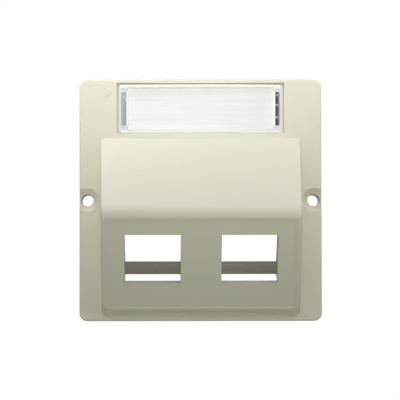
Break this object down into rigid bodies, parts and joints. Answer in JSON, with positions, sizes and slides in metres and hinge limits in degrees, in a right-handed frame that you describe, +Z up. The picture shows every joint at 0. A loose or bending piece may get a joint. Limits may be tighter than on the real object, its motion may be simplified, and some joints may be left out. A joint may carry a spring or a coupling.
{
  "type": "keystone faceplate",
  "caption": "Square moulded wall plate with a wedge hood carrying inclined openings for keystone jacks, and a paper label under a clear snap-in cover.",
  "frame": {"origin": "midway between the two screw holes, on the wall plane", "axes": "+X to the right seen from the room, +Y into the wall, +Z up the wall"},
  "size_m": [0.0644, 0.0318, 0.0644],
  "materials": {
    "ivory_moulding": "fine spark-eroded matt",
    "clear_cover": "clear polished",
    "label_paper": "smooth white"
  },
  "bodies": {
    "root": {"faceplate": "ivory_moulding", "label_cover": "clear_cover", "label_strip": "label_paper"}
  },
  "joints": []
}
